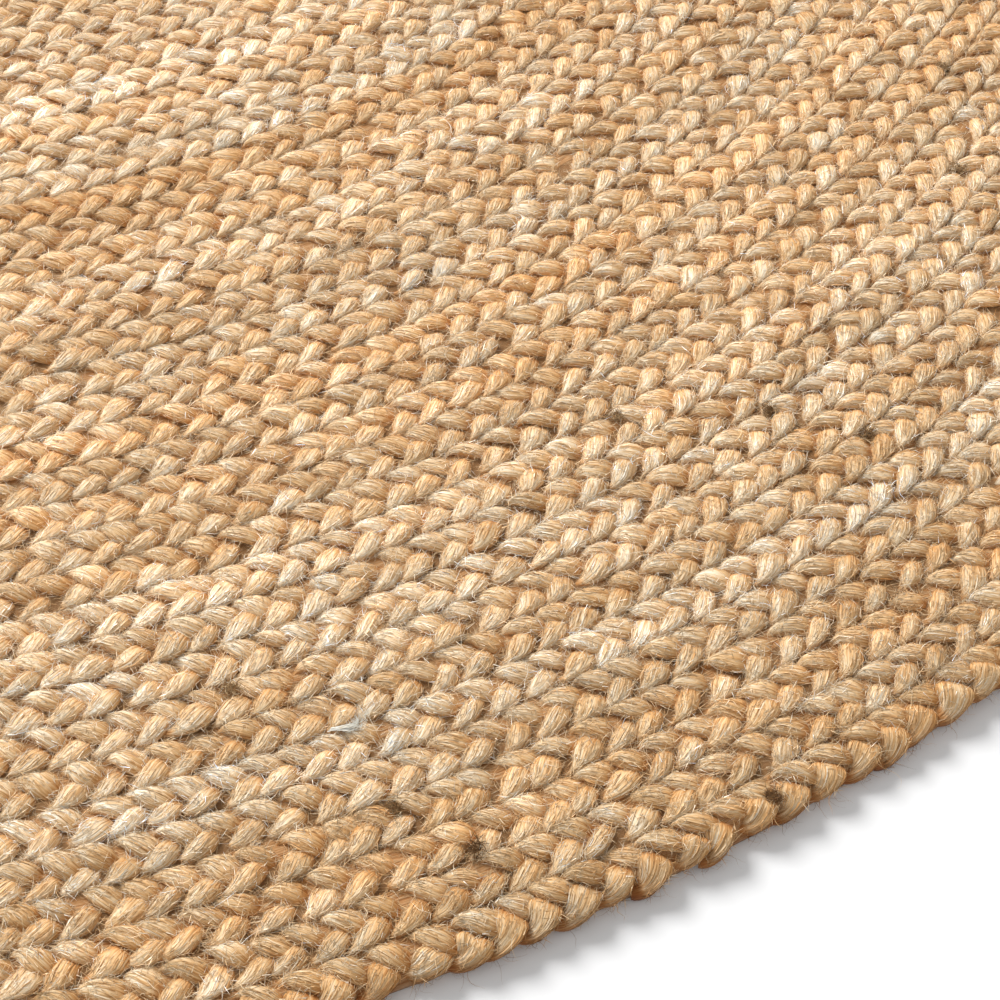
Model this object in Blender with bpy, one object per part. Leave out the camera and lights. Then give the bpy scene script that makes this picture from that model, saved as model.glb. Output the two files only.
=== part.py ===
"""Round jute rug: one long flat plait of three strands, coiled from the middle outwards and sewn
edge to edge, lying flat. The rounds of the coil stand up as ribs on the top face, the plait starts
in a small knob at the middle, and its tapered end is tucked against the rim."""

import math

import bmesh
import bpy

# Driving dimensions, in metres and turns
BRAID_WIDTH = 0.0181
RUG_THICKNESS = 0.011
GROOVE_HEIGHT = 0.0058
CREST_ACROSS = 0.5
FIRST_TURN = 0.5
LAST_TURN = 54.5

# The outer end of the plait: how long it tapers, how slim and how low it gets, and where it lies
TAIL_TAPER_TURNS = 0.055
TAIL_WIDTH_SHARE = 0.25
TAIL_HEIGHT_SHARE = 0.65
TAIL_ANGLE = math.radians(130)

# How the rounds waver as they were laid by hand: (ripples in a turn, size at the rim, phase)
WAVERS = ((3, 0.0022, 0.4), (7, 0.0009, 1.9), (11, 0.0004, 4.1))
FULL_WAVER_TURN = 55.0

# The middle: where the first crest sets in before the first groove, how it rises from there to
# the plait's full thickness, and the height of the knob inside it
CREST_LEAD_TURNS = 0.06
START_RISE_TURNS = 0.4
START_HEIGHT_SHARE = 0.62
KNOB_HEIGHT = 0.0095

# The rim's section, as shares of the braid's width inside its edge and of its height there
RIM_SECTION = (
    # inside the edge, height
    (0.10, 0.78),
    (0.00, 0.44),
    (0.09, 0.00),
)

# How far a straight edge may leave the true curve, the longest step along a small round, and how
# much longer than the others the last step may be
RIB_SAGITTA = 0.00105
RIM_SAGITTA = 0.00030
MOST_STEP_TURNS = 1 / 28
LAST_STEP_SHARE = 1.5
FULL_TURN = 2 * math.pi


def turn_angle(turn):
    """Polar angle of the coil after a number of turns, counted from the middle."""
    return TAIL_ANGLE + FULL_TURN * (turn - LAST_TURN)


def waver(angle, radius):
    """How far a point of the coil lies outside its true spiral."""
    share = radius / (FULL_WAVER_TURN * BRAID_WIDTH)
    ripples = sum(size * math.sin(count * angle + phase) for count, size, phase in WAVERS)
    return share * share * ripples


def eased(done, least):
    """Rises smoothly from the least share at 0 to the whole at 1, and stays there."""
    done = min(max(done, 0.0), 1.0)
    return least + (1 - least) * done * done * (3 - 2 * done)


def tail_share(turn, least):
    """1 along the plait, falling to the least share at its outer end."""
    return eased((LAST_TURN - turn) / TAIL_TAPER_TURNS, least)


def coil_point(turn, across, height):
    """A point of the plait, with across 0 at its inner edge and 1 at its outer edge."""
    width = BRAID_WIDTH * tail_share(turn, TAIL_WIDTH_SHARE)
    radius = BRAID_WIDTH * turn + width * across
    angle = turn_angle(turn)
    radius += waver(angle, radius)
    return (radius * math.cos(angle), radius * math.sin(angle), height)


def turns_between(first, last, sagitta):
    """Turn numbers along the coil, close enough for straight edges to follow it."""
    turns = [first]
    while True:
        radius = BRAID_WIDTH * (turns[-1] + CREST_ACROSS)
        step = min(2 * math.acos(1 - sagitta / radius) / FULL_TURN, MOST_STEP_TURNS)
        if turns[-1] + LAST_STEP_SHARE * step >= last:
            break
        turns.append(turns[-1] + step)
    turns.append(last)
    return turns


def add_line(mesh, turns, across, height_of):
    """Vertices along the coil, each with its turn number."""
    return [(turn, mesh.verts.new(coil_point(turn, across, height_of(turn)))) for turn in turns]


def join_lines(mesh, inner, outer):
    """Triangles between two lines along the coil, taking whichever has the nearer next point."""
    i = 0
    j = 0
    while i < len(inner) - 1 or j < len(outer) - 1:
        inner_next = inner[i + 1][0] if i < len(inner) - 1 else math.inf
        outer_next = outer[j + 1][0] if j < len(outer) - 1 else math.inf
        if inner_next <= outer_next:
            mesh.faces.new((inner[i][1], outer[j][1], inner[i + 1][1]))
            i += 1
        else:
            mesh.faces.new((inner[i][1], outer[j][1], outer[j + 1][1]))
            j += 1


def crease(mesh, line):
    """Shades the edges along a line as a sharp fold."""
    for here, after in zip(line, line[1:]):
        mesh.edges.get((here, after)).smooth = False


def crest_height(turn):
    """The plait's full thickness, less at its two ends."""
    wound = turn - (FIRST_TURN - CREST_LEAD_TURNS)
    start_share = eased(wound / START_RISE_TURNS, START_HEIGHT_SHARE)
    return RUG_THICKNESS * start_share * tail_share(turn, TAIL_HEIGHT_SHARE)


def groove_height(_turn):
    """The sewn groove between two rounds keeps one depth."""
    return GROOVE_HEIGHT


def rim_height(share):
    """The height of one line of the rim's section, as a function of the turn."""
    return lambda turn: share * crest_height(turn)


def add_ribs(mesh):
    """The top face. Returns the first line of the rim."""
    groove_turns = turns_between(FIRST_TURN, LAST_TURN, RIB_SAGITTA)
    halfway = [(here + after) / 2 for here, after in zip(groove_turns, groove_turns[1:])]
    crest_turns = [FIRST_TURN - CREST_LEAD_TURNS] + halfway + [LAST_TURN]
    groove = add_line(mesh, groove_turns, 0.0, groove_height)
    crest = add_line(mesh, crest_turns, CREST_ACROSS, crest_height)

    inside, height_share = RIM_SECTION[0]
    rim_turns = turns_between(LAST_TURN - 1, LAST_TURN, RIM_SAGITTA)[1:]
    rim = add_line(mesh, rim_turns, 1 - inside, rim_height(height_share))

    crest_start = crest[0][0]
    knob = [vertex for turn, vertex in groove if turn - 1 < crest_start]
    next_round = [(turn - 1, vertex) for turn, vertex in groove[len(knob) - 1 :]]
    add_knob(mesh, knob + [crest[0][1]])
    join_lines(mesh, groove, crest)
    join_lines(mesh, crest, next_round + rim)
    crease(mesh, [vertex for _, vertex in groove])

    tip = (crest[-1][1], rim[-1][1], rim[0][1], groove[-1][1])
    mesh.faces.new((tip[0], tip[1], tip[2]))
    mesh.faces.new((tip[0], tip[2], tip[3]))
    return rim


def add_knob(mesh, ring):
    """The folded start of the plait, a low knob that the first round is wound on."""
    middle = mesh.verts.new((0, 0, KNOB_HEIGHT))
    for here, after in zip(ring, ring[1:] + ring[:1]):
        mesh.faces.new((middle, here, after))


def add_rim(mesh, rim):
    """The rounded outer edge and the flat underside."""
    turns = [turn for turn, _ in rim]
    line = [vertex for _, vertex in rim]
    for inside, height_share in RIM_SECTION[1:]:
        below = add_line(mesh, turns, 1 - inside, rim_height(height_share))
        lower = [vertex for _, vertex in below]
        for here in range(len(line)):
            after = (here + 1) % len(line)
            mesh.faces.new((line[here], lower[here], lower[after], line[after]))
        line = lower
    mesh.faces.new(line[::-1])
    crease(mesh, line + line[:1])


def centre_over_origin(mesh):
    """Moves the rug so that the middle of its outline is over the origin."""
    for axis in (0, 1):
        places = [vertex.co[axis] for vertex in mesh.verts]
        middle = (min(places) + max(places)) / 2
        for vertex in mesh.verts:
            vertex.co[axis] -= middle


def jute_material():
    """Undyed jute: dry, straw to honey brown."""
    material = bpy.data.materials.new("jute")
    material.use_nodes = True
    shader = material.node_tree.nodes["Principled BSDF"]
    shader.inputs["Base Color"].default_value = (0.52, 0.34, 0.17, 1)
    shader.inputs["Roughness"].default_value = 0.85
    shader.inputs["Metallic"].default_value = 0.0
    return material


def make_rug():
    mesh = bmesh.new()
    rim = add_ribs(mesh)
    add_rim(mesh, rim)
    centre_over_origin(mesh)
    for face in mesh.faces:
        face.smooth = True
    data = bpy.data.meshes.new("braided_rug")
    mesh.to_mesh(data)
    mesh.free()
    data.materials.append(jute_material())
    rug = bpy.data.objects.new("braided_rug", data)
    bpy.context.scene.collection.objects.link(rug)
    return rug


for old in list(bpy.data.objects):
    bpy.data.objects.remove(old)
make_rug()
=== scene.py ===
import math

import bpy
import numpy as np
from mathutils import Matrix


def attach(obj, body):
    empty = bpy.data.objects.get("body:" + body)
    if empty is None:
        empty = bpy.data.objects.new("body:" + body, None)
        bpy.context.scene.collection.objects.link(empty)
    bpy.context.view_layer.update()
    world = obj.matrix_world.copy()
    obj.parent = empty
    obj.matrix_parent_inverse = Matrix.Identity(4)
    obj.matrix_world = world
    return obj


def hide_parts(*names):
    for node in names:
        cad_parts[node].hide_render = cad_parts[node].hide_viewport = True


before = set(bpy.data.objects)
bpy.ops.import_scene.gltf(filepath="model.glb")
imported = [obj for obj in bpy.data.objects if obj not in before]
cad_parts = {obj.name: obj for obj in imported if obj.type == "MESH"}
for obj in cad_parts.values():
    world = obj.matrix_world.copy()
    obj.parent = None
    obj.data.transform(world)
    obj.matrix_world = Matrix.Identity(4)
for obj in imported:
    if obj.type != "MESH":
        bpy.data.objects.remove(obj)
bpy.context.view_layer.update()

# Lengths are in metres. The coil is the same one as in the solid: one plait, wound from the
# middle outwards, with its tapered end tucked against the rim.
coil = {
    "plaitWidth": 0.0181,            # one round of the rug
    "thickness": 0.011,
    "lastTurn": 54.5,
    "tailAngle": math.radians(130),  # where the outer end lies
    "tailTurns": 0.055,              # how long that end tapers
    "tailWidthShare": 0.25,
    "tailHeightShare": 0.65,
    "wavers": ((3, 0.0022, 0.4), (7, 0.0009, 1.9), (11, 0.0004, 4.1)),  # ripples, size, phase
    "fullWaverTurn": 55.0,
    "outlinePoints": 20001,
    "lowest": 0.0002,                # no lobe or hair goes nearer to the floor
}

toCentimetres = 100  # the fibre pattern is laid out in centimetres
aboutATurn = 6.3     # radians, for random directions and phases

# The photograph's view, as a real camera would stand
cameraView = {
    "place": (0.38796, -1.23691, 0.69986),
    "downFromLevel": math.radians(52.81),
    "lens": 74.19,
    "sensor": 36.0,
    "nearest": 0.05,
    "furthest": 300.0,
}

# How the strands run in the plait: every strand goes from one edge to the other and back, on top
# for the first half of each crossing and below for the second. Sizes are shares of the plait's
# width, at places along the crossing: 0 is the turn at the edge, 0.5 the middle line.
strand = {
    "pitch": 0.0156,        # from one lobe to the next on the same side
    "lobeLength": 1.5,      # pitches
    "lowHeight": 0.0056,
    "rise": 0.0031,
    "sectionLean": 0.5,     # how much of a strand's slope its section follows
    "freeAside": 0.36,      # beyond this share of the width the next round presses a lobe flat
    "mostAside": 0.525,
    "lumps": ((0.06, 2.2, 5), (0.05, 4.5, -4)),  # size, and waves about the strand and along it
    "cleftSpread": 1.6,     # radians about the top, where a split lobe parts
    "cleftWidth": 0.25,
    "windRadius": 0.265,
    "twist": 0.16,          # how far the fibres wind round the strand, for each length along it
}

# A lobe between two rounds is pressed to a leaf, with its point in the groove
outerForm = {
    "reach": 0.405,         # from the plait's middle line to a strand's turn
    "sharpness": 0.05,      # how sharply a strand turns at the edge
    "sweep": 0.90,          # how much of the way to the middle line it gets at 0.5
    "steep": 0.97,          # the share of the plain length that it takes for this
    "pressed": True,
    "rise": (
        (-0.22, 0.06), (-0.08, 0.52), (0.0, 0.78), (0.1, 0.94),
        (0.25, 1.0), (0.42, 0.93), (0.52, 0.55), (0.62, 0.0),
    ),
    "width": (
        (-0.22, 0.08), (-0.08, 0.12), (0.0, 0.17), (0.1, 0.235),
        (0.25, 0.29), (0.42, 0.28), (0.62, 0.20),
    ),
    "height": (
        (-0.22, 0.07), (-0.08, 0.085), (0.0, 0.105), (0.1, 0.125),
        (0.25, 0.135), (0.42, 0.13), (0.62, 0.10),
    ),
    "edgeSide": 0.95,       # how much narrower a lobe is on the side of the plait's edge
    "fullness": 1.0,        # below 1 a lobe's top is flatter and its sides are steeper
    "lowShadeColour": (0.42, 0.24, 0.14),  # painted shade: what the colour is multiplied by at the floor
    "lowShadeTop": 0.0076,     # the height at which this sets in
}

innerForm = {
    **outerForm,
    "reach": 0.43,
    "sharpness": 0.06,
    "sweep": 0.87,
    "steep": 1.0,
    "width": (
        (-0.22, 0.06), (-0.08, 0.10), (0.0, 0.15), (0.1, 0.21),
        (0.25, 0.27), (0.42, 0.275), (0.62, 0.20),
    ),
}

# A lobe on the rim has no neighbour outside, and rolls over the edge from below
rimForm = {
    "reach": 0.285,
    "sharpness": 0.0,
    "sweep": 0.94,
    "steep": 0.76,
    "pressed": False,
    "rise": (
        (-0.25, -0.70), (-0.12, -0.65), (0.0, -0.42), (0.1, 0.0), (0.2, 0.52),
        (0.3, 0.88), (0.42, 0.93), (0.52, 0.55), (0.62, 0.0),
    ),
    "width": (
        (-0.25, 0.23), (-0.1, 0.26), (0.0, 0.275), (0.1, 0.30),
        (0.25, 0.36), (0.42, 0.38), (0.62, 0.28),
    ),
    "height": (
        (-0.25, 0.14), (-0.1, 0.17), (0.0, 0.18), (0.15, 0.17),
        (0.25, 0.15), (0.42, 0.14), (0.62, 0.11),
    ),
    "edgeSide": 0.95,
    "fullness": 0.72,
    "lowShadeColour": (0.34, 0.17, 0.10),  # painted shade, darker at its foot than in the grooves
    "lowShadeTop": 0.0095,
}


def tailShare(turn, least):
    # 1 along the plait, falling to the least share at its outer end
    done = np.clip((coil["lastTurn"] - turn) / coil["tailTurns"], 0, 1)
    return least + (1 - least) * done * done * (3 - 2 * done)


def turnAngle(turn):
    return coil["tailAngle"] + 2 * math.pi * (turn - coil["lastTurn"])


def waver(angle, radius):
    # How far the rounds stray from a true spiral, as laid by hand
    share = radius / (coil["fullWaverTurn"] * coil["plaitWidth"])
    ripples = sum(size * np.sin(count * angle + phase) for count, size, phase in coil["wavers"])
    return share * share * ripples


def coilPoint(turn, across, height):
    # across is 0 at the plait's inner edge and 1 at its outer edge
    width = coil["plaitWidth"] * tailShare(turn, coil["tailWidthShare"])
    angle = turnAngle(turn)
    radius = coil["plaitWidth"] * turn + width * across
    radius = radius + waver(angle, radius)
    x = radius * np.cos(angle) - coilMiddle[0]
    y = radius * np.sin(angle) - coilMiddle[1]
    return np.stack(np.broadcast_arrays(x, y, height), axis=-1)


# Lengths are measured along the plait's middle line
def turnAtLength(length):
    return -0.5 + np.sqrt(0.25 + np.maximum(length, 0) / (math.pi * coil["plaitWidth"]))


def lengthAtTurn(turn):
    return math.pi * coil["plaitWidth"] * (turn * turn + turn)


def halfway(places):
    return (places.min() + places.max()) / 2


# The solid is centred on its outline, which puts the coil's own middle a little off the origin
coilMiddle = (0.0, 0.0)
lastRound = np.linspace(coil["lastTurn"] - 1, coil["lastTurn"], coil["outlinePoints"])
outline = coilPoint(lastRound, 1.0, 0.0)
coilMiddle = (halfway(outline[:, 0]), halfway(outline[:, 1]))


# Materials

juteFibre = {
    "dark": (0.575, 0.345, 0.155),
    "tan": (0.852, 0.615, 0.353),
    "straw": (0.965, 0.855, 0.665),
    "shadeStops": (0.40, 0.485, 0.585),  # where these three lie in the mixed grain
    "paintedShade": (0.90, 0.68, 0.44),     # painted shade: what the buried parts are multiplied by
    "streaks": (1.6, 24.0),         # along and across, for each centimetre
    "streakDetail": 2.0,
    "streakRoughness": 0.65,
    "strands": (1.2, 12.0),
    "bundles": (0.5, 4.0),
    "grainShares": (0.4, 0.4, 0.2),  # streaks, strands and bundles in the colour
    "meander": 0.05,
    "meanderScale": (0.9, 1.6),
    "bumpHeight": 0.00022,
    "bundleHeight": 0.0006,
    "roughness": (0.50, 0.78),
    "gloss": 0.35,
    "glossTint": (1.0, 0.86, 0.62, 1),
    "sheen": 0.10,
    "sheenRoughness": 0.45,
    "sheenTint": (1.0, 0.84, 0.58, 1),
    "seedShift": 37.0,
}

whiteThread = {
    **juteFibre,
    "dark": (0.84, 0.77, 0.62),
    "tan": (0.94, 0.92, 0.83),
    "straw": (0.98, 0.97, 0.90),
}


class NodeBench:
    # Lays out a material's nodes in rows and joins them
    inRow = 8
    apart = (220, 260)

    def __init__(self, name):
        self.material = bpy.data.materials.new(name)
        self.material.use_nodes = True
        self.tree = self.material.node_tree
        self.shader = self.tree.nodes["Principled BSDF"]
        self.place = 0

    def put(self, kind, **settings):
        node = self.tree.nodes.new(kind)
        self.place += 1
        column, row = 1 + self.place % self.inRow, self.place // self.inRow
        node.location = (-self.apart[0] * column, -self.apart[1] * row)
        for key, value in settings.items():
            setattr(node, key, value)
        return node

    def feed(self, socket, value):
        if isinstance(value, bpy.types.NodeSocket):
            self.tree.links.new(value, socket)
        else:
            socket.default_value = value

    def maths(self, operation, *values):
        node = self.put("ShaderNodeMath", operation=operation)
        for socket, value in zip(node.inputs, values):
            self.feed(socket, value)
        return node.outputs[0]

    def vector(self, operation, *values):
        node = self.put("ShaderNodeVectorMath", operation=operation)
        for socket, value in zip(node.inputs, values):
            self.feed(socket, value)
        return node.outputs[0]

    def grain(self, place, scale, detail=1.0, roughness=0.5):
        # Noise, with a scale along the strand and another across it
        scaled = self.vector("MULTIPLY", place, (*scale, 1.0))
        node = self.put("ShaderNodeTexNoise")
        self.feed(node.inputs["Vector"], scaled)
        node.inputs["Scale"].default_value = 1.0
        node.inputs["Detail"].default_value = detail
        node.inputs["Roughness"].default_value = roughness
        return node.outputs["Fac"]

    def ramp(self, value, places, colours):
        node = self.put("ShaderNodeValToRGB")
        elements = node.color_ramp.elements
        while len(elements) < len(places):
            elements.new(0.5)
        for element, place, colour in zip(elements, places, colours):
            element.position = place
            element.color = (*colour, 1)
        self.feed(node.inputs["Fac"], value)
        return node.outputs["Color"]

    def multiplied(self, share, first, second):
        node = self.put("ShaderNodeMix", data_type="RGBA", blend_type="MULTIPLY")
        self.feed(node.inputs["Factor"], share)
        self.feed(node.inputs[6], first)  # its colour sockets, which share their names with others
        self.feed(node.inputs[7], second)
        return node.outputs[2]

    def attribute(self, name, vector=False):
        node = self.put("ShaderNodeAttribute", attribute_name=name)
        return node.outputs["Vector" if vector else "Fac"]


def makeFibreMaterial(name, fibre):
    bench = NodeBench(name)
    uv = bench.put("ShaderNodeUVMap", uv_map="strandUv").outputs["UV"]
    seed = bench.attribute("strandSeed")
    tint = bench.attribute("strandTintAndShade", vector=True)
    paintedShade = bench.attribute("strandPaintedShade")

    # Every strand has fibres of its own
    lift = bench.put("ShaderNodeCombineXYZ")
    bench.feed(lift.inputs["Z"], bench.maths("MULTIPLY", seed, fibre["seedShift"]))
    place = bench.vector("ADD", uv, lift.outputs[0])

    # They meander a little along it
    sway = bench.maths("SUBTRACT", bench.grain(place, fibre["meanderScale"]), 0.5)
    shift = bench.put("ShaderNodeCombineXYZ")
    bench.feed(shift.inputs["Y"], bench.maths("MULTIPLY", sway, fibre["meander"]))
    place = bench.vector("ADD", place, shift.outputs[0])

    detail, roughness = fibre["streakDetail"], fibre["streakRoughness"]
    grains = (
        bench.grain(place, fibre["streaks"], detail, roughness),
        bench.grain(place, fibre["strands"]),
        bench.grain(place, fibre["bundles"]),
    )
    shares = zip(grains, fibre["grainShares"])
    streaks, strands, bundles = [bench.maths("MULTIPLY", grain, share) for grain, share in shares]
    shade = bench.maths("ADD", bench.maths("ADD", streaks, strands), bundles)
    colours = (fibre["dark"], fibre["tan"], fibre["straw"])
    colour = bench.ramp(shade, fibre["shadeStops"], colours)
    # The tint holds each strand's own colour, and painted shade low down and where strands dive
    colour = bench.multiplied(1.0, colour, tint)
    # Painted shade where a strand lies deep, on its sides and at its ends
    colour = bench.multiplied(paintedShade, colour, (*fibre["paintedShade"], 1))
    bench.feed(bench.shader.inputs["Base Color"], colour)

    smooth, rough = fibre["roughness"]
    finish = bench.maths("MULTIPLY_ADD", grains[0], smooth - rough, rough)
    bench.feed(bench.shader.inputs["Roughness"], finish)

    relief = bench.maths(
        "ADD",
        bench.maths("MULTIPLY", grains[0], fibre["bumpHeight"]),
        bench.maths("MULTIPLY", grains[1], fibre["bundleHeight"]),
    )
    bump = bench.put("ShaderNodeBump")
    bench.feed(bump.inputs["Height"], relief)
    bump.inputs["Distance"].default_value = 1.0
    bump.inputs["Strength"].default_value = 1.0
    bench.feed(bench.shader.inputs["Normal"], bump.outputs["Normal"])

    bench.shader.inputs["Metallic"].default_value = 0.0
    bench.shader.inputs["Specular IOR Level"].default_value = fibre["gloss"]
    bench.shader.inputs["Specular Tint"].default_value = fibre["glossTint"]
    bench.shader.inputs["Sheen Weight"].default_value = fibre["sheen"]
    bench.shader.inputs["Sheen Roughness"].default_value = fibre["sheenRoughness"]
    bench.shader.inputs["Sheen Tint"].default_value = fibre["sheenTint"]
    return bench.material


fibreMaterial = makeFibreMaterial("juteFibre", juteFibre)
threadMaterial = makeFibreMaterial("whiteThread", whiteThread)
print("materials made")


# Mesh pieces from arrays

def shadeAttribute(data, name, values, kind, key):
    attribute = data.attributes.new(name, kind, "POINT")
    attribute.data.foreach_set(key, np.ascontiguousarray(values, dtype=np.float32).ravel())


def meshPiece(name, points, faces, uv, seed, paintedShade, tint, material=fibreMaterial):
    # points is (n, 3), and faces a list of arrays with three or four columns. seed and tint vary
    # the fibres from point to point; the painted shade share darkens them, and tint holds painted
    # shade too.
    points = np.asarray(points, dtype=np.float32).reshape(-1, 3)
    corners = np.concatenate([part.ravel() for part in faces]).astype(np.int32)
    counts = np.concatenate([np.full(len(part), part.shape[1]) for part in faces])
    starts = np.concatenate([[0], np.cumsum(counts)[:-1]]).astype(np.int32)
    data = bpy.data.meshes.new(name)
    data.vertices.add(len(points))
    data.vertices.foreach_set("co", points.ravel())
    data.loops.add(len(corners))
    data.loops.foreach_set("vertex_index", corners)
    data.polygons.add(len(counts))
    data.polygons.foreach_set("loop_start", starts)
    data.update(calc_edges=True)
    data.validate()
    data.shade_smooth()
    layer = data.uv_layers.new(name="strandUv")
    flat = np.asarray(uv, dtype=np.float32).reshape(-1, 2)[corners]
    layer.data.foreach_set("uv", np.ascontiguousarray(flat).ravel())
    shadeAttribute(data, "strandSeed", seed, "FLOAT", "value")
    shadeAttribute(data, "strandPaintedShade", paintedShade, "FLOAT", "value")
    shadeAttribute(data, "strandTintAndShade", tint, "FLOAT_VECTOR", "vector")
    data.materials.append(material)
    piece = bpy.data.objects.new(name, data)
    bpy.context.scene.collection.objects.link(piece)
    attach(piece, "root")
    print("  %s: %d triangles" % (name, sum(len(face.vertices) - 2 for face in data.polygons)))
    return piece


def gridFaces(count, rows, columns):
    # Quads of count grids of rows by columns points, one after another
    here = np.arange(rows * columns).reshape(rows, columns)
    quad = np.stack([here[:-1, :-1], here[1:, :-1], here[1:, 1:], here[:-1, 1:]], axis=-1)
    starts = np.arange(count) * rows * columns
    return (quad.reshape(-1, 4)[None] + starts[:, None, None]).reshape(-1, 4)


# Every lobe of the plait, from the middle to the tail

# How unevenly a hand lays them. Spreads are shares of a lobe's own size unless noted.
handLaid = {
    "startTurn": 0.02,
    "endTurns": 0.004,      # the last lobe begins this far before the plait's end
    "drift": 0.07,          # pitches, which add up from lobe to lobe
    "driftWindow": 41,      # lobes in which that evens out
    "place": 0.07,          # pitches
    "length": 0.06,
    "width": 0.11,
    "height": 0.10,
    "aside": 0.0006,        # metres
    "up": 0.00045,          # metres
    "lean": 0.10,
    "leanFrom": 0.3,        # along the crossing
    "splitShare": 0.3,      # this many lobes have a cleft
    "splitDepth": (0.15, 0.4),
    "twist": 0.6,
    "seed": 41,
}

# How the jute's colour varies. Darker fibres are redder ones.
juteShades = {
    "batchWaves": (23.0, 14.0, 8.6, 5.3, 3.1),  # metres along the plait
    "yarnWaves": (6.1, 3.4, 1.9, 1.1, 0.6, 0.3),
    "yarnStep": 0.13,       # how much quicker the next yarn changes
    "batchLight": 0.055,
    "batchRed": 0.024,
    "yarnLight": 0.035,
    "lobeLight": 0.065,
    "lobeRed": 0.024,
    "darkRed": -0.38,
    "redParts": (0.5, -0.5, -2.0),  # a step of redness in red, green and blue
    "rounds": (
        # turn, lightness, redness
        (0, 0.0, 0.0), (20, 0.06, -0.01), (26, 0.14, -0.045), (31, 0.01, 0.02),
        (36, 0.0, 0.0), (41, 0.01, 0.015), (47, 0.005, -0.02), (51, -0.12, 0.01),
        (53, -0.18, 0.03), (55, -0.22, 0.045),
    ),
}


def slowWaves(length, waves, random, yarn):
    # Smooth ups and downs of about 1 on average, the same for lobes of one yarn
    total = 0
    quicker = 1 + juteShades["yarnStep"] * yarn
    for wave in waves:
        phase = random.random(3) * 2 * math.pi
        total = total + np.sin(2 * math.pi * length / wave * quicker + phase[yarn])
    return total * math.sqrt(2 / len(waves))


def shadeOf(light, red):
    # A tint from its lightness and a step towards reddish brown
    return np.exp(np.stack([light + part * red for part in juteShades["redParts"]], axis=-1))


def makeLobes():
    random = np.random.default_rng(handLaid["seed"])
    pitch, window = strand["pitch"], handLaid["driftWindow"]
    start = lengthAtTurn(handLaid["startTurn"])
    end = lengthAtTurn(coil["lastTurn"] - handLaid["endTurns"])
    count = int((end - start) / pitch)
    total = 2 * count
    number = np.arange(count)
    slow = np.cumsum(random.normal(0, handLaid["drift"], count))
    slow = slow - np.convolve(slow, np.ones(window) / window, mode="same")
    # One on the outer side, and one on the inner side half a pitch further on
    begin = start + (number + slow) * pitch
    begins = np.concatenate([begin, begin + 0.5 * pitch])
    yarn = np.concatenate([number % 3, (number - 1) % 3])

    def uneven(key):
        return random.normal(0, handLaid[key], total)

    lobes = {
        "begin": begins + uneven("place") * pitch,
        "side": np.concatenate([np.ones(count), -np.ones(count)]),
        "stretch": 1 + uneven("length"),
        "wide": 1 + uneven("width"),
        "high": 1 + uneven("height"),
        "aside": uneven("aside"),
        "up": uneven("up"),
        "lean": uneven("lean"),
        "split": np.where(
            random.random(total) < handLaid["splitShare"],
            random.uniform(*handLaid["splitDepth"], total), 0,
        ),
        "twist": 1 + uneven("twist"),
        "seed": random.random(total),
        "lump": random.random((total, 4)),
    }
    # Slow changes along the whole plait, others along each of its yarns, and a step at each lobe
    allYarns = np.zeros(total, dtype=int)
    batchLight = slowWaves(begins, juteShades["batchWaves"], random, allYarns)
    batchRed = slowWaves(begins, juteShades["batchWaves"], random, allYarns)
    yarnLight = slowWaves(begins, juteShades["yarnWaves"], random, yarn)
    light = juteShades["batchLight"] * batchLight + juteShades["yarnLight"] * yarnLight
    light = light + random.normal(0, juteShades["lobeLight"], total)
    red = juteShades["darkRed"] * light + juteShades["batchRed"] * batchRed
    red = red + random.normal(0, juteShades["lobeRed"], total)
    turn = turnAtLength(begins)
    turns, lights, reds = np.array(juteShades["rounds"]).T
    light = light + np.interp(turn, turns, lights)
    lobes["tint"] = shadeOf(light, red + np.interp(turn, turns, reds))
    return lobes


def pick(lobes, chosen):
    return {key: value[chosen] for key, value in lobes.items()}


def perLobe(values):
    # One value a lobe, for all its points
    return values[:, None, None]


def climb(place, start, over):
    # 0 up to the start, and 1 from there on after so much more
    return np.clip((place - start) / over, 0, 1)


def profile(stops, along, slope=False):
    # A smooth curve through the stops, or its slope
    places = np.array([place for place, _ in stops])
    heights = np.array([height for _, height in stops])
    degree = min(len(stops) - 2, 6)
    curve = np.polyfit(places, heights, degree)
    return np.polyval(np.polyder(curve) if slope else curve, along)


def plainRun(lobes):
    return strand["lobeLength"] * strand["pitch"] * perLobe(lobes["stretch"])


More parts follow.
